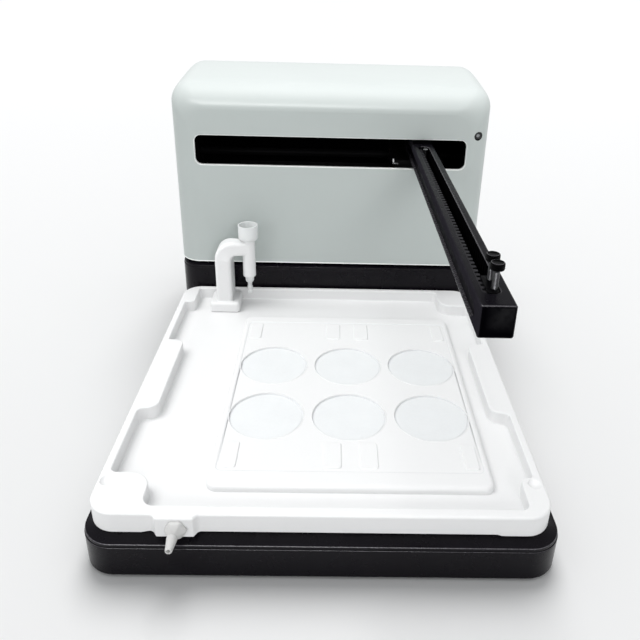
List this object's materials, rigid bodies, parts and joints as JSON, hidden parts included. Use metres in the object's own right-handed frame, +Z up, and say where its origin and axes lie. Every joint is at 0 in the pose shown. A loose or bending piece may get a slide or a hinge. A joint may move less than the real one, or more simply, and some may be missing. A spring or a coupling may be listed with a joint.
{
  "type": "fraction collector",
  "caption": "Bench-top X-Y fraction collector with a traversing arm over a lift-out drip tray, a hooked rinse station and a rounded motor housing.",
  "frame": {"origin": "centre of the bounding box footprint, on the bench under the rubber feet", "axes": "+Z up, -Y towards the user in front of the drip tray, +X to the user's right; the arm traverses along X and its head travels along Y"},
  "size_m": [0.286, 0.44, 0.2414],
  "materials": {
    "black_shell": "satin moulded",
    "housing_paint": "satin light grey-green",
    "white_plastic": "satin moulded",
    "translucent_plastic": "milky natural plastic",
    "black_plastic": "fine texture",
    "black_metal": "black anodised satin",
    "bright_steel": "ground",
    "zinc_steel": "zinc plated sheet",
    "aluminium": "machined",
    "motor_case": "black motor laminations",
    "circuit_board": "solder mask",
    "bronze": "sintered",
    "rubber": "matt",
    "belt_rubber": "ribbed"
  },
  "bodies": {
    "machine": {"base_shell": "black_shell", "bottom_plate": "zinc_steel", "foot_front_left": "rubber", "foot_front_right": "rubber", "foot_rear_left": "rubber", "foot_rear_right": "rubber", "power_supply": "zinc_steel", "housing_cover": "housing_paint", "cover_screw": "black_metal", "rear_panel": "black_metal", "power_inlet": "black_plastic", "power_switch_frame": "black_plastic", "serial_connector": "zinc_steel", "io_connector": "zinc_steel", "chassis_frame": "zinc_steel", "guide_rod_front": "bright_steel", "guide_rod_rear": "bright_steel", "x_motor": "motor_case", "x_idler_pin": "bright_steel", "x_belt": "belt_rubber", "control_board": "circuit_board", "home_sensor": "black_plastic"},
    "x_drive": {"x_drive_pulley": "aluminium"},
    "x_idler": {"x_idler_pulley": "aluminium"},
    "arm": {"arm_beam": "black_metal", "x_carriage": "aluminium", "bushing_front": "bronze", "bushing_rear": "bronze", "belt_clamp": "zinc_steel", "y_motor": "motor_case", "y_idler_pin": "bright_steel", "rear_stop_pin": "bright_steel", "y_belt": "belt_rubber"},
    "y_drive": {"y_drive_pulley": "aluminium"},
    "y_idler": {"y_idler_pulley": "aluminium"},
    "head": {"head_carriage": "black_plastic"},
    "front_thumbscrew": {"thumbscrew_front": "bright_steel"},
    "rear_thumbscrew": {"thumbscrew_rear": "bright_steel"},
    "tray": {"drip_tray": "white_plastic", "drain_fitting": "translucent_plastic"},
    "station": {"station_post": "white_plastic", "rinse_cup": "translucent_plastic", "rinse_barb": "translucent_plastic"},
    "rocker": {"power_switch_rocker": "black_plastic"}
  },
  "joints": [
    {"name": "arm_traverse", "type": "slide", "parent": "machine", "child": "arm", "axis": [1, 0, 0], "range_m": [-0.19, 0.027]},
    {"name": "head_travel", "type": "slide", "parent": "arm", "child": "head", "axis": [0, 1, 0], "range_m": [0, 0.25]},
    {"name": "front_thumbscrew_turn", "type": "hinge", "parent": "head", "child": "front_thumbscrew", "pos_m": [0.0842, -0.1892, 0.198], "axis": [0, 0, 1], "continuous": true},
    {"name": "rear_thumbscrew_turn", "type": "hinge", "parent": "head", "child": "rear_thumbscrew", "pos_m": [0.0842, -0.1785, 0.198], "axis": [0, 0, 1], "continuous": true},
    {"name": "x_drive_turn", "type": "hinge", "parent": "machine", "child": "x_drive", "pos_m": [-0.1245, 0.154, 0.126], "axis": [0, 0, 1], "range_deg": [-195, 1350]},
    {"name": "x_idler_turn", "type": "hinge", "parent": "machine", "child": "x_idler", "pos_m": [0.1245, 0.154, 0.126], "axis": [0, 0, 1], "range_deg": [-195, 1350]},
    {"name": "y_drive_turn", "type": "hinge", "parent": "arm", "child": "y_drive", "pos_m": [0.0837, 0.133, 0.18], "axis": [0, 0, 1], "range_deg": [-2960, 5]},
    {"name": "y_idler_turn", "type": "hinge", "parent": "arm", "child": "y_idler", "pos_m": [0.0837, -0.2016, 0.18], "axis": [0, 0, 1], "range_deg": [-2960, 5]},
    {"name": "tray_lift", "type": "slide", "parent": "machine", "child": "tray", "axis": [0, 0, 1], "range_m": [0, 0.03]},
    {"name": "station_lift", "type": "slide", "parent": "tray", "child": "station", "axis": [0, 0, 1], "range_m": [0, 0.015]},
    {"name": "power_switch_rock", "type": "hinge", "parent": "machine", "child": "rocker", "pos_m": [-0.025, 0.205, 0.107], "axis": [1, 0, 0], "range_deg": [-14, 0]}
  ],
  "couplings": [
    {"joint": "x_drive_turn", "follows": "arm_traverse", "rad_per_m": -123.69},
    {"joint": "x_idler_turn", "follows": "arm_traverse", "rad_per_m": -123.69},
    {"joint": "y_drive_turn", "follows": "head_travel", "rad_per_m": -206.14},
    {"joint": "y_idler_turn", "follows": "head_travel", "rad_per_m": -206.14}
  ]
}
